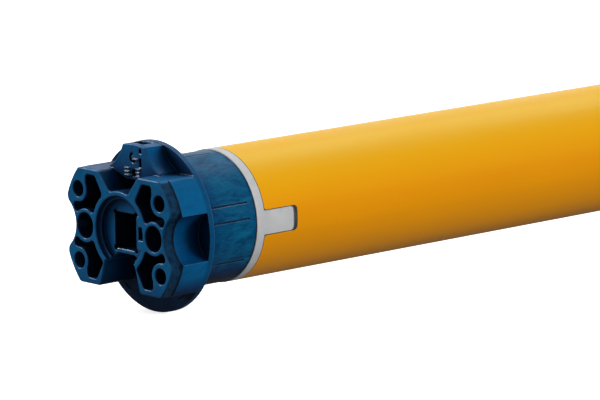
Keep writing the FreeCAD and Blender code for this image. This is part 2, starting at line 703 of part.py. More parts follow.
def limit_frame():
    """Two end plates and the beams between them: the moulding that holds the limit mechanism."""
    front, rear, plate = size("limit_front"), size("limit_rear"), size("limit_plate")
    radius, gap, end = size("inner_radius") - 0.1, size("running_gap"), rear + plate
    frame = bar(radius, front, front + plate).fuse(bar(radius, rear, end))
    upper_beam = Part.makeBox(rear - front, 16, 4, spot(-8, 14.6, front))
    lower_beam = Part.makeBox(rear - front, 10, 1.6, spot(-5, -20.2, front))
    frame = frame.multiFuse([beam.common(bar(radius, front, end)) for beam in (upper_beam, lower_beam)])
    wire_way, half, slack = 6.0, size("board_half_width"), 0.1
    tools = [bar(size("spindle_radius") + gap, front - 1, end + 1, 0, size("spindle_z"))]
    tools += [bar(wire_way, start - 1, start + plate + 1) for start in (front, rear)]
    tools += two_ways(bar(size("limit_rod_radius") + gap, front - 1, end + 1, size("limit_rod_y")))
    thick = size("board_top") - size("board_bottom") + 2 * slack
    tools.append(Part.makeBox(2, 2 * (half + slack), thick,
                              spot(-half - slack, size("board_bottom") - slack, end - 1.5)))
    for tool in tools:
        frame = frame.cut(tool)
    return frame


feature("limit_frame", limit_frame())

nut_span = ("nut_middle - nut_length / 2", "nut_middle + nut_length / 2")
nut_block = block(nut_span, ("-5", "5"), ("-18.2", "-11"))
nut_finger = block(("nut_middle - 1.5", "nut_middle + 1.5"), ("-1.5", "1.5"), ("-11.5", "-5.4"))
nut_bore = rod("spindle_radius + running_gap", "nut_middle - 9", "nut_middle + 9", 0, "spindle_z")
label(cut(fuse(nut_block, nut_finger), nut_bore), "limit_nut")
SETTING_HEAD, SETTING_HEX = 3.0, 3.0
CARRIAGE_LENGTH = 14.0


def limit_side(name, side, start):
    """One travel limit: its setting screw, and the carriage with its micro switch and lever."""
    rod_y, rod_radius = side * size("limit_rod_y"), size("limit_rod_radius")
    hole_end, rod_end = size("side_hole_depth"), size("limit_rear") + size("limit_plate") - 0.5
    head_start = hole_end - 4.5
    screw = bar(SETTING_HEAD, head_start, hole_end - 0.1, rod_y)
    screw = screw.fuse(bar(rod_radius, head_start, rod_end, rod_y))
    socket = prism([(rod_y + y, z) for y, z in hexagon(SETTING_HEX)], head_start - 1, head_start + 2.5)
    feature(f"{name}_limit_screw", screw.cut(socket))

    def placed(x, y, z):
        """A box between (low, high) pairs, with Y counted towards this limit's side."""
        corner = spot(min(side * y[0], side * y[1]), z[0], x[0])
        return Part.makeBox(x[1] - x[0], y[1] - y[0], z[1] - z[0], corner)

    end = start + CARRIAGE_LENGTH
    carriage = placed((start, end), (13.6, 19.6), (-4, 4.6))
    carriage = carriage.fuse(placed((start, end), (1.0, 14), (3.0, 4.6)))
    rod_bore = bar(rod_radius + size("running_gap"), start - 1, end + 1, rod_y)
    feature(f"{name}_switch_carriage", carriage.cut(rod_bore))
    switch = placed((start + 0.6, end - 0.6), (3.2, 9.2), (-3.3, 3.0))
    for x in (start + 2.4, start + 7.0, start + 11.6):
        switch = switch.fuse(placed((x - 0.8, x + 0.8), (9.2, 12.6), (-1.4, -0.9)))
    feature(f"{name}_micro_switch", switch)
    blade = placed((start + 1.5, end - 1.0), (-1.5, 7.0), (-4.6, -4.3))
    foot = placed((start + 1.5, start + 2.2), (4.2, 8.2), (-4.3, -3.3))
    feature(f"{name}_switch_lever", blade.fuse(foot))


limit_side("up", 1, 66.0)
limit_side("down", -1, 105.0)

# ---------------------------------------------------------------- terminal board and capacitor
label(block(("limit_rear + limit_plate - 1.3", "board_end"), ("-board_half_width", "board_half_width"),
            ("board_bottom", "board_top")), "terminal_board")


def terminal_block():
    """Two rows of clamp housings on the terminal board."""
    start, bottom, width, height, pitch, ways = 132.0, size("board_top"), 7.0, 8.0, 6.0, 4
    rows = []
    for low in (-10.0, 4.0):
        row = Part.makeBox(ways * pitch, width, height, spot(low, bottom, start))
        for i in range(ways):
            x = start + (i + 0.5) * pitch
            row = row.cut(Part.makeCylinder(1.6, 4, spot(low + width / 2, -2.5, x), Z_AXIS))
            row = row.cut(Part.makeBox(3, 3, 3, spot(low - 1.0, bottom + 1, x - 1.5)))
        rows.append(row)
    return Part.makeCompound(rows)


feature("terminal_block", terminal_block())
label(turned([
    ("capacitor_start", "0"), ("capacitor_start", "capacitor_radius - 1.4"),
    ("capacitor_start + 1.2", "capacitor_radius"), ("capacitor_end - 1.2", "capacitor_radius"),
    ("capacitor_end", "capacitor_radius - 1.4"), ("capacitor_end", "0"),
]), "capacitor")
tags = [block(("tag_start", "capacitor_start"), across, ("-0.4", "0.4"))
        for across in (("-7", "-1"), ("1", "7"))]
label(together(*tags), "capacitor_tags")
sleeve_starts = ("capacitor_start + sleeve_inset", "capacitor_end - sleeve_inset - sleeve_length")
sleeves = [sleeve("inner_radius - 0.1", "capacitor_radius + 0.05", start, f"{start} + sleeve_length")
           for start in sleeve_starts]
label(together(*sleeves), "capacitor_sleeves")

# ---------------------------------------------------------------- motor
SLOTS = 12


label(turned([
    ("bell_start", "bush_radius"), ("bell_start", "inner_radius"), ("stator_start", "inner_radius"),
    ("stator_start", "bell_bore"), ("bell_floor", "bell_bore"), ("bell_floor", "bush_radius + 2"),
    ("front_bush_end", "bush_radius + 2"), ("front_bush_end", "bush_radius"),
]), "front_bell")
label(sleeve("bush_radius", "shaft_radius + bush_gap", "bell_start", "front_bush_end"), "front_bush")
rear_bell_blank = turned([
    ("stator_end", "bell_bore"), ("stator_end", "inner_radius"), ("brake_start", "inner_radius"),
    ("brake_start", "bush_radius"), ("rear_bush_start", "bush_radius"),
    ("rear_bush_start", "bush_radius + 2"), ("rear_bell_floor", "bush_radius + 2"),
    ("rear_bell_floor", "bell_bore"),
])
doc.recompute()
feature("rear_bell", screw_bores(rear_bell_blank.Shape, BELL_SCREWS))
label(sleeve("bush_radius", "shaft_radius + bush_gap", "rear_bush_start", "brake_start"), "rear_bush")


def cross_sketch(body, start, name):
    """A sketch across the motor's axis at the X that a formula gives."""
    sketch = body.newObject("Sketcher::SketchObject", unused(name))
    sketch.AttachmentSupport = [(plane_of(body, "YZ_Plane"), "")]
    sketch.MapMode = "FlatFace"
    sketch.setExpression("AttachmentOffset.Base.z", formula(start))
    return sketch


def add_circle(sketch, radius):
    """A circle about the motor's axis, its radius bound to a formula."""
    circle = Part.Circle(FreeCAD.Vector(), FreeCAD.Vector(0, 0, 1), worked_out(radius))
    index = sketch.addGeometry(circle, False)
    sketch.addConstraint(Sketcher.Constraint("Coincident", index, 3, -1, 1))
    rule = sketch.addConstraint(Sketcher.Constraint("Radius", index, worked_out(radius)))
    sketch.setExpression(f"Constraints[{rule}]", formula(radius))


def stator_core():
    """The laminated core: a pad with one winding slot, patterned round the axis."""
    body = doc.addObject("PartDesign::Body", "stator_core_body")
    ring = cross_sketch(body, "stator_start", "stator_ring")
    add_circle(ring, "inner_radius")
    add_circle(ring, "rotor_radius + air_gap")
    pad = body.newObject("PartDesign::Pad", "stator_stack")
    pad.Profile = ring
    pad.setExpression("Length", formula("stator_end - stator_start"))
    doc.recompute()
    whole = pad.Shape.Volume
    outline = cross_sketch(body, "stator_start", "slot_outline")
    draw_profile(outline, [
        ("10.5", "-0.8"), ("12.2", "-0.8"), ("13.0", "-2.2"), ("17.4", "-3.2"),
        ("17.4", "3.2"), ("13.0", "2.2"), ("12.2", "0.8"), ("10.5", "0.8"),
    ])
    slot = body.newObject("PartDesign::Pocket", "winding_slot")
    slot.Profile = outline
    slot.Type = "ThroughAll"
    slot.Reversed = True
    doc.recompute()
    if slot.Shape.Volume > whole - 1:
        raise RuntimeError("the winding slot cuts nothing")
    pattern = body.newObject("PartDesign::PolarPattern", "winding_slots")
    pattern.Originals = [slot]
    pattern.Axis = (ring, ["N_Axis"])
    pattern.Angle = 360.0
    pattern.Occurrences = SLOTS
    body.Tip = pattern
    return body


label(stator_core(), "stator_core")


def stator_winding():
    """The coils: a bundle in each slot, joined by the end turns at both ends of the core."""
    start, end, turns = size("stator_start"), size("stator_end"), size("end_turn_length")
    coil = [bar(17.2, start - turns, start).cut(bar(12.9, start - turns - 1, start + 1)),
            bar(17.2, end, end + turns).cut(bar(12.9, end - 1, end + turns + 1))]
    coil = [ring.makeFillet(1.4, [edge for edge in ring.Edges if far_edge(edge, start, end)])
            for ring in coil]
    bundle = prism([(13.3, -2.0), (17.0, -2.85), (17.0, 2.85), (13.3, 2.0)], start - 0.5, end + 0.5)
    whole = coil[0].fuse(coil[1])
    for slot in range(SLOTS):
        turned_bundle = bundle.copy()
        turned_bundle.rotate(FreeCAD.Vector(), X_AXIS, 360 * slot / SLOTS)
        whole = whole.fuse(turned_bundle)
    return whole


def far_edge(edge, start, end):
    """Whether an end turn's round edge lies away from the core."""
    box = edge.BoundBox
    return box.XLength < 1e-6 and (box.XMax < start - 1 or box.XMin > end + 1)


feature("stator_winding", stator_winding())
label(sleeve("rotor_radius", "shaft_radius", "stator_start", "stator_end"), "rotor_core")
end_rings = [sleeve("end_ring_radius", "end_ring_bore", start, f"{start} + 4")
             for start in ("stator_start - 4", "stator_end")]
label(together(*end_rings), "rotor_end_rings")
label(turned([
    ("shaft_start", "0"), ("shaft_start", "shaft_radius - 0.6"), ("shaft_start + 0.6", "shaft_radius"),
    ("shaft_step", "shaft_radius"), ("shaft_step", "shaft_tail_radius"),
    ("shaft_end", "shaft_tail_radius"), ("shaft_end", "0"),
]), "rotor_shaft")

# ---------------------------------------------------------------- brake
label(turned([
    ("brake_start", "19.2"), ("brake_start", "inner_radius"), ("brake_end", "inner_radius"),
    ("brake_end", "6"), ("brake_end - brake_wall", "6"), ("brake_end - brake_wall", "19.2"),
]), "brake_housing")
label(sleeve("coil_radius", "coil_bore", "brake_start", "coil_end"), "brake_coil")
label(sleeve("armature_radius", "shaft_radius + 1", "armature_start", "armature_end"), "brake_armature")
label(sleeve("disc_radius", "shaft_radius", "armature_end + disc_gap",
             "brake_end - brake_wall - disc_gap"), "brake_disc")


def brake_spring():
    """The coil spring inside the brake coil, which presses the armature on the disc."""
    wire, turns, coil_radius = 0.6, 4.5, 8.0
    start, end = size("brake_start") + 0.7, size("armature_start") - 1.4
    helix = Part.makeHelix((end - start) / turns, end - start, coil_radius)
    section = Part.Circle(FreeCAD.Vector(coil_radius, 0, 0), FreeCAD.Vector(0, 1, 0), wire)
    circle = Part.Wire(section.toShape())
    spring = Part.Wire(helix).makePipeShell([circle], True, True)
    spring.rotate(FreeCAD.Vector(), FreeCAD.Vector(0, 1, 0), 90)
    spring.translate(FreeCAD.Vector(start, 0, 0))
    return spring


feature("brake_spring", brake_spring())

# ---------------------------------------------------------------- planetary gears
SUN_TEETH, PLANET_TEETH, RING_TEETH, GEAR_MODULE = 12, 15, 42, 0.85
PLANETS = 3
STAGES = ((366.0, 376.0), (385.0, 397.0), (406.5, 422.0))
CARRIER_RADIUS, PLATE, LAST_PLATE, SUN_BORE = 16.2, 4.0, 5.0, 2.5


def planet_pins(start, end):
    """The pins of one carrier."""
    pins = []
    for i in range(PLANETS):
        y, z = at_angle(size("planet_orbit"), 360 * i / PLANETS)
        pins.append(bar(size("planet_pin"), start, end, y, z))
    return pins


def ring_gear():
    """The fixed inside gear that all three stages share."""
    start, end = size("gear_start"), size("gear_end")
    ring = bar(size("inner_radius"), start, end)
    return ring.cut(teeth_tool(RING_TEETH, GEAR_MODULE, GEAR_MODULE, start - 1, end + 1))


feature("ring_gear", ring_gear())
feature("sun_gear_1", gear(SUN_TEETH, GEAR_MODULE, STAGES[0][0] - 1, STAGES[0][1], SUN_BORE))
for stage, (start, end) in enumerate(STAGES, start=1):
    for planet in range(PLANETS):
        wheel = gear(PLANET_TEETH, GEAR_MODULE, start, end, size("planet_pin") + size("running_gap"),
                     size("planet_orbit"))
        wheel.rotate(FreeCAD.Vector(), X_AXIS, 360 * planet / PLANETS)
        feature(f"planet_gear_{stage}_{planet + 1}", wheel)
    if stage == len(STAGES):
        break
    plate_start = end + 1.0
    plate = bar(CARRIER_RADIUS, plate_start, plate_start + PLATE)
    hub_end = STAGES[stage][1]
    stub = bar(SUN_BORE, plate_start, hub_end)
    carrier = plate.multiFuse(planet_pins(start + 0.2, plate_start + 0.5) + [stub])
    feature(f"stage_carrier_{stage}", carrier)
    feature(f"sun_gear_{stage + 1}", gear(SUN_TEETH, GEAR_MODULE, plate_start + PLATE, hub_end, SUN_BORE))

# ---------------------------------------------------------------- output
OUTPUT_STUB = 6.0
GROOVE_START, GROOVE_WIDTH, GROOVE_FLOOR = 1.5, 1.2, 4.9
last_plate = STAGES[-1][1] + 1.0


def output_carrier():
    """The last carrier, with the bore that the output shaft's stub fills."""
    plate = bar(CARRIER_RADIUS, last_plate, last_plate + LAST_PLATE)
    carrier = plate.multiFuse(planet_pins(STAGES[-1][0] + 0.2, last_plate + 0.5))
    return carrier.cut(bar(OUTPUT_STUB, last_plate - 1, last_plate + LAST_PLATE + 1))


def output_shaft():
    """The steel shaft: journal, hexagon for the drive wheel, and a round nose with a clip groove."""
    boss, hexagon_end, nose = size("boss_end"), size("hexagon_end"), size("nose_end")
    shoulder = last_plate + LAST_PLATE
    shaft = bar(OUTPUT_STUB, last_plate, shoulder + 1).fuse(bar(size("output_radius"), shoulder, boss + 1))
    shaft = shaft.fuse(prism(hexagon(size("hexagon_flats")), boss + 0.5, hexagon_end))
    tip = bar(size("nose_radius"), hexagon_end - 1, nose)
    tip = tip.makeChamfer(0.6, [edge for edge in tip.Edges if edge.BoundBox.XMin > nose - 0.1])
    groove_start = hexagon_end + GROOVE_START
    groove = bar(size("nose_radius") + 1, groove_start, groove_start + GROOVE_WIDTH)
    core = bar(GROOVE_FLOOR, hexagon_end, nose)
    return shaft.fuse(tip).cut(groove.cut(core))


def retaining_clip():
    """The open ring in the nose's groove."""
    start, thick, bore = size("hexagon_end") + GROOVE_START + 0.1, 1.0, GROOVE_FLOOR + 0.05
    hole = bar(bore, start - 1, start + 2)
    ring = bar(7.2, start, start + thick).cut(hole)
    ears = Part.makeBox(thick, 7.0, 2.4, spot(-3.5, 5.6, start))
    ring = ring.fuse(ears.cut(hole))
    ring = ring.cut(Part.makeBox(3.0, 1.6, 6.0, spot(-0.8, 4.0, start - 1)))
    for side in (1, -1):
        ring = ring.cut(bar(0.6, start - 1, start + 2, side * 2.2, 6.9))
    return ring


feature("output_carrier", output_carrier())
feature("output_shaft", output_shaft())
feature("retaining_clip", retaining_clip())
housing_blank = turned([
    ("gear_end", "output_bush_radius"), ("gear_end", "inner_radius"), ("tube_end", "inner_radius"),
    ("tube_end", "tube_radius"), ("lip_end", "tube_radius"), ("lip_end", "boss_bore"),
    ("boss_end", "boss_bore"), ("boss_end", "output_bush_radius"),
])
doc.recompute()
housing = screw_bores(housing_blank.Shape, HOUSING_SCREWS)
for turn in range(0, 360, 60):
    y, z = at_angle(16.2, turn)
    housing = housing.cut(bar(2.6, size("gear_end") + 3, size("lip_end") + 1, y, z))
feature("output_housing", housing)
for name, start, end in (("inner", "gear_end", "inner_bush_end"), ("outer", "outer_bush_start", "boss_end")):
    label(sleeve("output_bush_radius", "output_radius + bush_gap", start, end), f"output_bush_{name}")

# ---------------------------------------------------------------- checks and files
doc.recompute()
for obj in doc.Objects:
    broken = [word for word in obj.State if word in ("Invalid", "Error")]
    if broken:
        raise RuntimeError(f"{obj.Name} ({obj.Label}) failed to build: {broken}")
for name, obj in sorted(nodes.items()):
    shape = obj.Shape
    if shape.isNull() or not shape.isValid() or not shape.Solids:
        raise RuntimeError(f"{name} has no valid solid")
    shape.exportStep(f"parts/{name}.step")
    box = shape.BoundBox
    print(f"{name:20s} solids {len(shape.Solids):2d} volume {shape.Volume:10.1f} "
          f"x {box.XMin:7.2f} {box.XMax:7.2f} y {box.YMin:6.2f} {box.YMax:6.2f} "
          f"z {box.ZMin:6.2f} {box.ZMax:6.2f}")
print(len(nodes), "nodes")
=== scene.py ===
import json
import math

import bpy
from mathutils import Matrix, Vector


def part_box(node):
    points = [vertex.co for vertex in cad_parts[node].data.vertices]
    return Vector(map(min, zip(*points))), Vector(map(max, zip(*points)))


# Looks, light and camera for the roller shutter motor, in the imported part's frame: +X runs from the
# star head to the output shaft, and +Z is up. The scene is in metres. The node helpers take sizes in
# millimetres.

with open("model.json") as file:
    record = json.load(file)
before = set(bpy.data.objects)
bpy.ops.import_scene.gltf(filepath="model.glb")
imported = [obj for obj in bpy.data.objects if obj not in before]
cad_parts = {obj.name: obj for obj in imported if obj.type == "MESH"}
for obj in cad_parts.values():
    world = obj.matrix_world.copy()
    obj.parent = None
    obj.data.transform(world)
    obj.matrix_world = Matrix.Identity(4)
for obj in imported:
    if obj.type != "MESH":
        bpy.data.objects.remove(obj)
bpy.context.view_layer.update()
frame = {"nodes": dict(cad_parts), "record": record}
MM = 0.001
RANGE_SOCKETS = ("From Min", "From Max", "To Min", "To Max")
MIX_COLOUR_SOCKETS = (6, 7)
MIX_COLOUR_RESULT = 2
EDGE_SAMPLES, SOFT_SAMPLES = 4, 6


# ---------------------------------------------------------------- node helpers
class Surface:
    """A node material being built: its tree, its shader and the part's own coordinates."""

    def __init__(self, name):
        self.material = bpy.data.materials.new(name)
        self.material.use_nodes = True
        self.tree = self.material.node_tree
        self.shader = self.tree.nodes["Principled BSDF"]
        self.coordinates = self.tree.nodes.new("ShaderNodeTexCoord")
        self.place = self.coordinates.outputs["Object"]

    def link(self, value, socket):
        """Feed a socket from another node's output, or set it to a plain value."""
        if isinstance(value, bpy.types.NodeSocket):
            self.tree.links.new(value, socket)
        else:
            socket.default_value = value

    def set(self, **values):
        """Set the shader's own sockets, named with underscores for spaces."""
        for name, value in values.items():
            self.link(value, self.shader.inputs[name.replace("_", " ").title().replace("Ior", "IOR")])

    def math(self, operation, a, b=0.0):
        """The result of one operation on numbers or other nodes' outputs."""
        node = self.tree.nodes.new("ShaderNodeMath")
        node.operation = operation
        self.link(a, node.inputs[0])
        self.link(b, node.inputs[1])
        return node.outputs[0]

    def blend(self, first, second, share):
        """Two numbers mixed: the first one has this share, and the second one has the rest."""
        part = self.math("MULTIPLY", first, share)
        return self.math("ADD", self.math("MULTIPLY", second, 1 - share), part)

    def axes(self, vector=None):
        """The three parts of a vector."""
        node = self.tree.nodes.new("ShaderNodeSeparateXYZ")
        self.link(vector or self.place, node.inputs[0])
        return node.outputs

    def stretched(self, x=1.0, y=1.0, z=1.0):
        """The part's coordinates, scaled along each axis."""
        node = self.tree.nodes.new("ShaderNodeMapping")
        self.link(self.place, node.inputs["Vector"])
        node.inputs["Scale"].default_value = (x, y, z)
        return node.outputs[0]

    def noise(self, size, detail=3.0, roughness=0.55, vector=None, distortion=0.0):
        """Soft noise whose patches are about this many millimetres across."""
        node = self.tree.nodes.new("ShaderNodeTexNoise")
        self.link(vector or self.place, node.inputs["Vector"])
        node.inputs["Scale"].default_value = 1 / (size * MM)
        node.inputs["Detail"].default_value = detail
        node.inputs["Roughness"].default_value = roughness
        node.inputs["Distortion"].default_value = distortion
        return node.outputs["Fac"]

    def cells(self, size):
        """Distance to the nearest of scattered points, about this many millimetres apart."""
        node = self.tree.nodes.new("ShaderNodeTexVoronoi")
        self.link(self.place, node.inputs["Vector"])
        node.inputs["Scale"].default_value = 1 / (size * MM)
        return node.outputs["Distance"]

    def bands(self, pitch, direction="X", distortion=0.0):
        """Smooth bands across one axis, this many millimetres apart."""
        node = self.tree.nodes.new("ShaderNodeTexWave")
        self.link(self.place, node.inputs["Vector"])
        node.bands_direction = direction
        node.inputs["Scale"].default_value = math.pi / (10 * pitch * MM)
        node.inputs["Distortion"].default_value = distortion
        return node.outputs["Fac"]

    def between(self, value, low, high, new_low=0.0, new_high=1.0):
        """A value carried from one range to another and kept inside it."""
        node = self.tree.nodes.new("ShaderNodeMapRange")
        self.link(value, node.inputs["Value"])
        for name, number in zip(RANGE_SOCKETS, (low, high, new_low, new_high)):
            node.inputs[name].default_value = number
        return node.outputs["Result"]

    def mix(self, factor, first, second):
        """One colour fading to another."""
        node = self.tree.nodes.new("ShaderNodeMix")
        node.data_type = "RGBA"
        self.link(factor, node.inputs["Factor"])
        for index, colour in zip(MIX_COLOUR_SOCKETS, (first, second)):
            if isinstance(colour, tuple):
                colour = (*colour, 1.0)
            self.link(colour, node.inputs[index])
        return node.outputs[MIX_COLOUR_RESULT]

    def softened(self, radius, samples=SOFT_SAMPLES):
        """The surface's direction with its edges rounded over this many millimetres."""
        node = self.tree.nodes.new("ShaderNodeBevel")
        node.samples = samples
        node.inputs["Radius"].default_value = radius * MM
        return node.outputs[0]

    def edges(self, radius):
        """Where the surface turns within this many millimetres: 0 on flats, 1 on a sharp edge."""
        rounded = self.softened(radius, EDGE_SAMPLES)
        geometry = self.tree.nodes.new("ShaderNodeNewGeometry")
        dot = self.tree.nodes.new("ShaderNodeVectorMath")
        dot.operation = "DOT_PRODUCT"
        self.link(rounded, dot.inputs[0])
        self.link(geometry.outputs["Normal"], dot.inputs[1])
        return self.between(dot.outputs["Value"], 1.0, 0.8)

    def hollows(self, reach):
        """How open the surface is within this many millimetres: 0 deep in a hollow, 1 in the open."""
        node = self.tree.nodes.new("ShaderNodeAmbientOcclusion")
        node.samples = SOFT_SAMPLES
        node.inputs["Distance"].default_value = reach * MM
        return node.outputs["AO"]

    def relief(self, height, depth, under=None):
        """Bump from a height of 0 to 1, this many millimetres deep."""
        node = self.tree.nodes.new("ShaderNodeBump")
        node.inputs["Distance"].default_value = depth * MM
        self.link(height, node.inputs["Height"])
        if under is not None:
            self.link(under, node.inputs["Normal"])
        self.link(node.outputs[0], self.shader.inputs["Normal"])


def mottled(surface, light, dark, patch, speck, share=0.25):
    """A colour with broad patches and a share of fine specks in it."""
    broad = surface.between(surface.noise(patch, 4.0, 0.6), 0.35, 0.65)
    fine = surface.between(surface.noise(speck, 2.0), 0.4, 0.62)
    return surface.mix(surface.blend(fine, broad, share), dark, light)


def grained(surface, size, depth, low, high):
    """Even grain: bump of one size, with the roughness following broad patches."""
    surface.relief(surface.noise(size, 3.0, 0.6), depth)
    surface.set(roughness=surface.between(surface.noise(size * 12, 3.0), 0.3, 0.7, low, high))


# ---------------------------------------------------------------- materials
# Painted shade: the navy that the nylon turns where it is half hidden.
PAINTED_SHADE_NAVY = (0.0, 0.02, 0.1)
# Paler blue for edges: partly rubbed wear, partly a painted edge highlight.
RUBBED_BLUE_AND_HIGHLIGHT = (0.05, 0.24, 0.4)
# Painted shade: the share of the dark colour left deep in hollows.
HOLLOW_SHADE_SHARE = 0.08


def glass_filled_nylon(name, light, dark, swirl):
    """Blue glass-filled nylon: faint fibre swirls, a dull skin, edges lightened by rubbing and a painted
    highlight, and painted shade in its hollows.
    """
    surface = Surface(name)
    broad = surface.noise(7.0, 5.0, 0.65, surface.stretched(0.45, 1.0, 1.0), 1.6)
    patches = surface.between(broad, 0.36, 0.64)
    fine = surface.noise(0.7, 3.0, 0.7, surface.stretched(0.3, 1.0, 1.0), 0.6)
    fibres = surface.between(fine, 0.42, 0.66)
    skin = surface.mix(surface.blend(fibres, patches, swirl), dark, light)
    # Painted shade: the colour darkens to navy, then near black, where ambient occlusion finds hollows.
    open_air = surface.hollows(16.0)
    shaded = surface.mix(surface.between(open_air, 0.72, 1.0), PAINTED_SHADE_NAVY, skin)
    openness = surface.between(open_air, 0.46, 0.86)
    colour = surface.mix(openness, tuple(HOLLOW_SHADE_SHARE * part for part in dark), shaded)
    # Edges lightened towards a paler blue: partly rubbed wear, partly a painted edge highlight.
    rubbing_and_highlight = surface.between(surface.noise(3.0, 4.0), 0.42, 0.7, 0.05, 0.3)
    edge = surface.edges(0.45)
    wear_and_highlight = surface.math("MULTIPLY", edge, rubbing_and_highlight)
    surface.set(base_color=surface.mix(wear_and_highlight, colour, RUBBED_BLUE_AND_HIGHLIGHT))
    surface.set(specular_ior_level=0.22, specular_tint=(0.0, 0.42, 1.0, 1.0))
    glint = surface.between(surface.math("MULTIPLY", edge, openness), 0.0, 0.6, 0.03, 1.0)
    surface.set(coat_weight=glint, coat_roughness=0.22, coat_ior=1.9)
    surface.set(roughness=surface.between(surface.noise(5.0, 4.0, 0.6), 0.3, 0.7, 0.42, 0.6))
    rounded = surface.softened(0.5)
    surface.set(coat_normal=rounded)
    surface.relief(surface.noise(0.45, 4.0, 0.6), 0.03, rounded)
    return surface


STRIP_END, STRIP_INNER = 4.35, 21.4
RIM_START = 14.9
STRIP_DARK, STRIP_LIGHT = (0.003, 0.012, 0.036), (0.004, 0.04, 0.085)
RIM_BLUE = (0.001, 0.035, 0.1)


def head_plastic():
    """The head's nylon, darker on its rim, with a darker mottled strip round the front of its lobes."""
    light, dark = (0.0, 0.097, 0.24), (0.0, 0.068, 0.182)
    surface = glass_filled_nylon("head_nylon", light, dark, 0.2)
    x, y, _ = surface.axes()
    flat = surface.axes(surface.coordinates.outputs["Normal"])[0]
    side_on = surface.math("LESS_THAN", surface.math("ABSOLUTE", flat), 0.3)
    outside = surface.math("GREATER_THAN", surface.math("ABSOLUTE", y), STRIP_INNER * MM)
    strip = surface.between(x, STRIP_END * MM, (STRIP_END - 0.2) * MM)
    strip = surface.math("MULTIPLY", strip, surface.math("MULTIPLY", side_on, outside))
    blotches = surface.between(surface.noise(1.6, 5.0, 0.7), 0.38, 0.7)
    shade = surface.mix(blotches, STRIP_DARK, STRIP_LIGHT)
    colour = surface.shader.inputs["Base Color"].links[0].from_socket
    behind = surface.between(x, (RIM_START - 0.3) * MM, RIM_START * MM, 0.0, 0.6)
    rim = surface.math("MULTIPLY", side_on, behind)
    colour = surface.mix(rim, colour, RIM_BLUE)
    surface.set(base_color=surface.mix(strip, colour, shade))
    return surface


def crown_plastic():
    """The crown's nylon, with stronger swirls."""
    return glass_filled_nylon("crown_nylon", (0.003, 0.115, 0.225), (0.0, 0.026, 0.085), 0.32)


def die_cast():
    """Bare zinc casting with a fine skin."""
    surface = Surface("die_cast_zinc")
    surface.set(base_color=mottled(surface, (0.54, 0.54, 0.545), (0.44, 0.445, 0.455), 6.0, 0.5))
    surface.set(metallic=0.05, specular_ior_level=0.3)
    grained(surface, 0.5, 0.03, 0.45, 0.6)
    return surface


BARE_STEEL, CHIPPED_PAINT = (0.16, 0.17, 0.17), (0.45, 0.24, 0.06)


def yellow_paint():
    """Powder coat outside, paler on its upper side where light is painted, with handling marks; bare
    steel where cut.
    """
    surface = Surface("yellow_powder_coat")
    smear = surface.noise(18.0, 4.0, 0.6, surface.stretched(0.25, 1.0, 1.0))
    _, y, z = surface.axes()
    _, across, upward = surface.axes(surface.coordinates.outputs["Normal"])
    orange = surface.mix(surface.between(smear, 0.3, 0.7), (0.735, 0.265, 0.0), (0.77, 0.28, 0.0))
    # Painted light: faces turned upwards are mixed towards a paler yellow.
    colour = surface.mix(surface.between(upward, 0.15, 0.9), orange, (0.78, 0.4, 0.0))
    flaking = surface.between(surface.noise(2.0, 4.0), 0.5, 0.7, 0.0, 0.5)
    chips = surface.math("MULTIPLY", surface.edges(0.4), flaking)
    sideways, vertical = surface.math("MULTIPLY", y, across), surface.math("MULTIPLY", z, upward)
    # Only the outside faces away from the axis; the cut edges and the inside don't.
    painted = surface.between(surface.math("ADD", sideways, vertical), 10.0 * MM, 14.0 * MM)
    paint = surface.mix(chips, colour, CHIPPED_PAINT)
    surface.set(base_color=surface.mix(painted, BARE_STEEL, paint))
    surface.set(specular_ior_level=0.5, specular_tint=(0.0, 0.9, 0.2, 1.0))
    surface.set(roughness=surface.between(smear, 0.3, 0.7, 0.4, 0.5))
    surface.relief(surface.noise(1.1, 2.0, 0.4), 0.006)
    return surface


def plain_plastic(name, light, dark, low, high):
    """Moulded plastic with a fine spark-eroded grain."""
    surface = Surface(name)
    surface.set(base_color=mottled(surface, light, dark, 5.0, 0.5))
    grained(surface, 0.3, 0.02, low, high)
    return surface


def black_plastic():
    """Black plastic for the switches."""
    return plain_plastic("black_plastic", (0.026, 0.026, 0.028), (0.014, 0.014, 0.016), 0.35, 0.5)


def white_plastic():
    """Natural white nylon."""
    return plain_plastic("white_nylon", (0.78, 0.77, 0.72), (0.68, 0.67, 0.62), 0.38, 0.52)


def yellow_plastic():
    """Pale yellow acetal."""
    return plain_plastic("yellow_acetal", (0.82, 0.66, 0.16), (0.72, 0.55, 0.11), 0.3, 0.42)


def setting_screw():
    """White acetal for the limit setting screws."""
    return plain_plastic("white_acetal", (0.82, 0.81, 0.78), (0.74, 0.73, 0.69), 0.28, 0.4)


def worked_metal(name, light, dark, pitch, depth, low, high):
    """Metal turned on a lathe: fine rings along X, with broad dull patches."""
    surface = Surface(name)
    rings = surface.noise(pitch, 2.0, 0.5, surface.stretched(1.0, 0.05, 0.05))
    broad = surface.between(surface.noise(4.0, 4.0), 0.3, 0.7)
    shine = surface.blend(rings, broad, 0.4)
    surface.set(base_color=surface.mix(shine, dark, light), metallic=1.0)
    surface.set(roughness=surface.between(shine, 0.3, 0.7, high, low))
    surface.relief(rings, depth)
    return surface


def machined_steel():
    """Turned steel."""
    light, dark = (0.66, 0.66, 0.67), (0.47, 0.47, 0.48)
    return worked_metal("turned_steel", light, dark, 0.25, 0.004, 0.22, 0.38)


def brass():
    """Turned brass."""
    return worked_metal("brass", (0.86, 0.63, 0.27), (0.66, 0.45, 0.16), 0.3, 0.004, 0.2, 0.38)


def zinc_screw():
    """Zinc plate with a faint bluish bloom."""
    surface = Surface("zinc_plate")
    surface.set(base_color=mottled(surface, (0.72, 0.73, 0.75), (0.52, 0.54, 0.58), 2.0, 0.3))
    surface.set(metallic=1.0)
    grained(surface, 0.25, 0.008, 0.24, 0.4)
    return surface


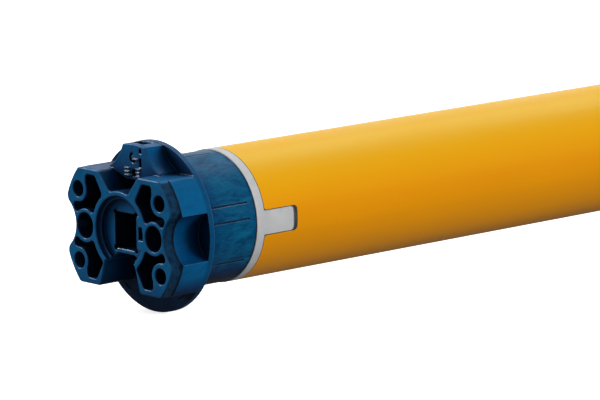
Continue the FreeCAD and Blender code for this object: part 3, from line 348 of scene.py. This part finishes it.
def circuit_board():
    """Green solder resist over copper tracks, with glass weave showing through."""
    surface = Surface("circuit_board")
    lanes = surface.between(surface.bands(3.0, "Y"), 0.42, 0.5)
    breaks = surface.between(surface.noise(9.0, 1.0), 0.45, 0.5)
    tracks = surface.math("MULTIPLY", lanes, breaks)
    weave = surface.math("MULTIPLY", surface.bands(0.6, "X"), surface.bands(0.6, "Y"))
    resist = surface.mix(weave, (0.012, 0.09, 0.035), (0.016, 0.12, 0.045))
    surface.set(base_color=surface.mix(tracks, resist, (0.05, 0.2, 0.06)))
    surface.set(roughness=surface.between(surface.noise(6.0), 0.3, 0.7, 0.24, 0.4))
    surface.relief(tracks, 0.035)
    return surface


def capacitor_can():
    """White shrink sleeve with faint wrinkles."""
    surface = Surface("capacitor_sleeve")
    surface.set(base_color=mottled(surface, (0.74, 0.75, 0.76), (0.62, 0.63, 0.64), 9.0, 0.8))
    surface.set(roughness=surface.between(surface.noise(8.0), 0.3, 0.7, 0.2, 0.34))
    surface.relief(surface.noise(4.0, 3.0, 0.5, surface.stretched(0.3, 1.0, 1.0), 1.0), 0.12)
    return surface


def black_rubber():
    """Dusty black rubber."""
    surface = Surface("black_rubber")
    surface.set(base_color=mottled(surface, (0.04, 0.04, 0.042), (0.02, 0.02, 0.021), 4.0, 0.4))
    surface.set(specular_ior_level=0.3)
    grained(surface, 0.25, 0.03, 0.7, 0.9)
    return surface


def bronze():
    """Sintered bronze with open pores and oil stains."""
    surface = Surface("sintered_bronze")
    pores = surface.between(surface.cells(0.22), 0.05, 0.3)
    oil = surface.between(surface.noise(3.0, 4.0), 0.35, 0.65)
    blotches = surface.mix(oil, (0.34, 0.2, 0.08), (0.62, 0.4, 0.19))
    surface.set(base_color=surface.mix(pores, (0.16, 0.09, 0.04), blotches), metallic=0.9)
    surface.set(roughness=surface.between(pores, 0.0, 1.0, 0.65, 0.36))
    surface.relief(pores, 0.02)
    return surface


def lamination_steel():
    """Stacked electrical steel: thin dark gaps between bright sheet edges."""
    surface = Surface("laminations")
    sheets = surface.between(surface.bands(0.5), 0.2, 0.6)
    oxide = surface.between(surface.noise(6.0, 5.0, 0.65), 0.35, 0.7)
    face = surface.mix(oxide, (0.34, 0.35, 0.38), (0.2, 0.17, 0.15))
    surface.set(base_color=surface.mix(sheets, (0.07, 0.07, 0.075), face), metallic=0.8)
    surface.set(roughness=surface.between(sheets, 0.0, 1.0, 0.7, 0.4))
    surface.relief(sheets, 0.03)
    return surface


def copper_winding():
    """Enamelled wire lying across the coil, with a coat of varnish."""
    surface = Surface("enamelled_wire")
    wires = surface.between(surface.bands(0.55, "DIAGONAL", 0.8), 0.15, 0.7)
    varnish = surface.between(surface.noise(5.0, 4.0), 0.3, 0.7)
    wire = surface.mix(varnish, (0.42, 0.13, 0.035), (0.62, 0.25, 0.08))
    surface.set(base_color=surface.mix(wires, (0.07, 0.022, 0.01), wire), metallic=0.55)
    surface.set(coat_weight=0.4, coat_roughness=0.15)
    surface.set(roughness=surface.between(varnish, 0.0, 1.0, 0.42, 0.28))
    surface.relief(wires, 0.15)
    return surface


def cast_aluminium():
    """Aluminium cast round the rotor."""
    surface = Surface("cast_aluminium")
    surface.set(base_color=mottled(surface, (0.78, 0.78, 0.78), (0.6, 0.6, 0.61), 3.0, 0.4))
    surface.set(metallic=1.0)
    grained(surface, 0.6, 0.05, 0.4, 0.6)
    return surface


def friction_lining():
    """Pressed brake lining with brass flecks."""
    surface = Surface("friction_lining")
    flecks = surface.between(surface.cells(0.9), 0.16, 0.1)
    body = mottled(surface, (0.11, 0.095, 0.08), (0.055, 0.05, 0.045), 3.0, 0.5, 0.4)
    surface.set(base_color=surface.mix(flecks, body, (0.5, 0.34, 0.12)))
    grained(surface, 0.4, 0.06, 0.7, 0.88)
    return surface


def gear_steel():
    """Sintered steel with an oily film."""
    surface = Surface("sintered_steel")
    pores = surface.between(surface.cells(0.2), 0.04, 0.28)
    film = surface.between(surface.noise(3.5, 5.0, 0.6), 0.35, 0.68)
    body = surface.mix(film, (0.2, 0.2, 0.21), (0.42, 0.42, 0.44))
    surface.set(base_color=surface.mix(pores, (0.08, 0.08, 0.085), body), metallic=0.95)
    surface.set(coat_weight=0.25, coat_roughness=0.2)
    surface.set(roughness=surface.between(film, 0.0, 1.0, 0.5, 0.32))
    surface.relief(pores, 0.015)
    return surface


MATERIALS = {maker.__name__: maker for maker in (
    head_plastic, crown_plastic, die_cast, yellow_paint, black_plastic, brass, zinc_screw, white_plastic,
    yellow_plastic, setting_screw, machined_steel, circuit_board, capacitor_can, black_rubber, bronze,
    lamination_steel, copper_winding, cast_aluminium, friction_lining, gear_steel,
)}


def dress_nodes():
    """Give every node the material that its slot in the record names."""
    finished = {}
    for part in frame["record"]["subparts"]:
        slot = part["material_slot"]
        if slot not in finished:
            finished[slot] = MATERIALS[slot]().material
        node = frame["nodes"][part["node"]]
        node.data.materials.clear()
        node.data.materials.append(finished[slot])


dress_nodes()


# ---------------------------------------------------------------- floor, light and camera
def floor():
    """A pale sheet under the head's flange, wide enough for every view."""
    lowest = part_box("star_head")[0].z
    half = 60.0
    mesh = bpy.data.meshes.new("floor")
    square = ((-half, -half), (half, -half), (half, half), (-half, half))
    corners = [(x, y, lowest) for x, y in square]
    mesh.from_pydata(corners, [], [(0, 1, 2, 3)])
    sheet = bpy.data.objects.new("floor", mesh)
    bpy.context.scene.collection.objects.link(sheet)
    surface = Surface("floor_paper")
    shade = surface.between(surface.noise(900.0, 2.0), 0.3, 0.7)
    surface.set(base_color=surface.mix(shade, (0.93, 0.93, 0.93), (0.95, 0.95, 0.95)), roughness=0.9)
    surface.set(emission_color=(1.0, 1.0, 1.0, 1.0), emission_strength=0.75)
    mesh.materials.append(surface.material)
    sheet.visible_diffuse = False
    sheet.visible_glossy = False


def soft_sun(name, towards, spread, strength, mirrored=True):
    """A distant soft light. strength is how brightly it lights white paper that faces it.

    A light that isn't mirrored makes no highlights.
    """
    lamp = bpy.data.lights.new(name, "SUN")
    lamp.angle = math.radians(spread)
    lamp.energy = math.pi * strength
    holder = bpy.data.objects.new(name, lamp)
    bpy.context.scene.collection.objects.link(holder)
    holder.rotation_euler = Vector(towards).to_track_quat("Z", "Y").to_euler()
    holder.visible_glossy = mirrored


HORIZON_BLUR = 0.3


def surroundings(above, below):
    """A white sky that is dimmer under the horizon."""
    world = bpy.data.worlds.new("studio")
    world.use_nodes = True
    tree = world.node_tree
    direction = tree.nodes.new("ShaderNodeTexCoord")
    parts = tree.nodes.new("ShaderNodeSeparateXYZ")
    level = tree.nodes.new("ShaderNodeMapRange")
    for name, number in zip(RANGE_SOCKETS, (-HORIZON_BLUR, HORIZON_BLUR, below, above)):
        level.inputs[name].default_value = number
    tree.links.new(direction.outputs["Generated"], parts.inputs[0])
    tree.links.new(parts.outputs["Z"], level.inputs["Value"])
    sky = tree.nodes["Background"]
    sky.inputs["Color"].default_value = (1.0, 1.0, 1.0, 1.0)
    tree.links.new(level.outputs["Result"], sky.inputs["Strength"])
    bpy.context.scene.world = world


VIEW_ANGLES = (-41.6, 10.39, -0.92)
VIEW_TARGET, VIEW_DISTANCE = (0.0796, 0.0, 0.0001), 1.524
LENS, FILM_WIDTH = 269.7, 36.0


def camera():
    """A long lens on the head, from its left and a little above, with a slight roll."""
    azimuth, elevation, roll = (math.radians(angle) for angle in VIEW_ANGLES)
    back = Vector((
        math.sin(azimuth) * math.cos(elevation),
        -math.cos(azimuth) * math.cos(elevation),
        math.sin(elevation),
    ))
    level = Vector((math.cos(azimuth), math.sin(azimuth), 0.0))
    upright = back.cross(level)
    right = math.cos(roll) * level + math.sin(roll) * upright
    up = back.cross(right)
    data = bpy.data.cameras.new("camera")
    data.lens = LENS
    data.sensor_width = FILM_WIDTH
    holder = bpy.data.objects.new("camera", data)
    bpy.context.scene.collection.objects.link(holder)
    pose = Matrix((right, up, back)).transposed().to_4x4()
    pose.translation = Vector(VIEW_TARGET) + back * VIEW_DISTANCE
    holder.matrix_world = pose
    bpy.context.scene.camera = holder


floor()
surroundings(0.38, 0.17)
soft_sun("key", (0.72, -0.64, 0.25), 25.0, 1.06, mirrored=False)
soft_sun("left", (-0.45, 0.7, 0.5), 22.0, 0.88)
soft_sun("back", (0.65, 0.23, 0.72), 28.0, 0.14)
soft_sun("rim", (0.66, 0.72, 0.2), 30.0, 0.07)
camera()
bpy.context.scene.view_settings.view_transform = "Standard"
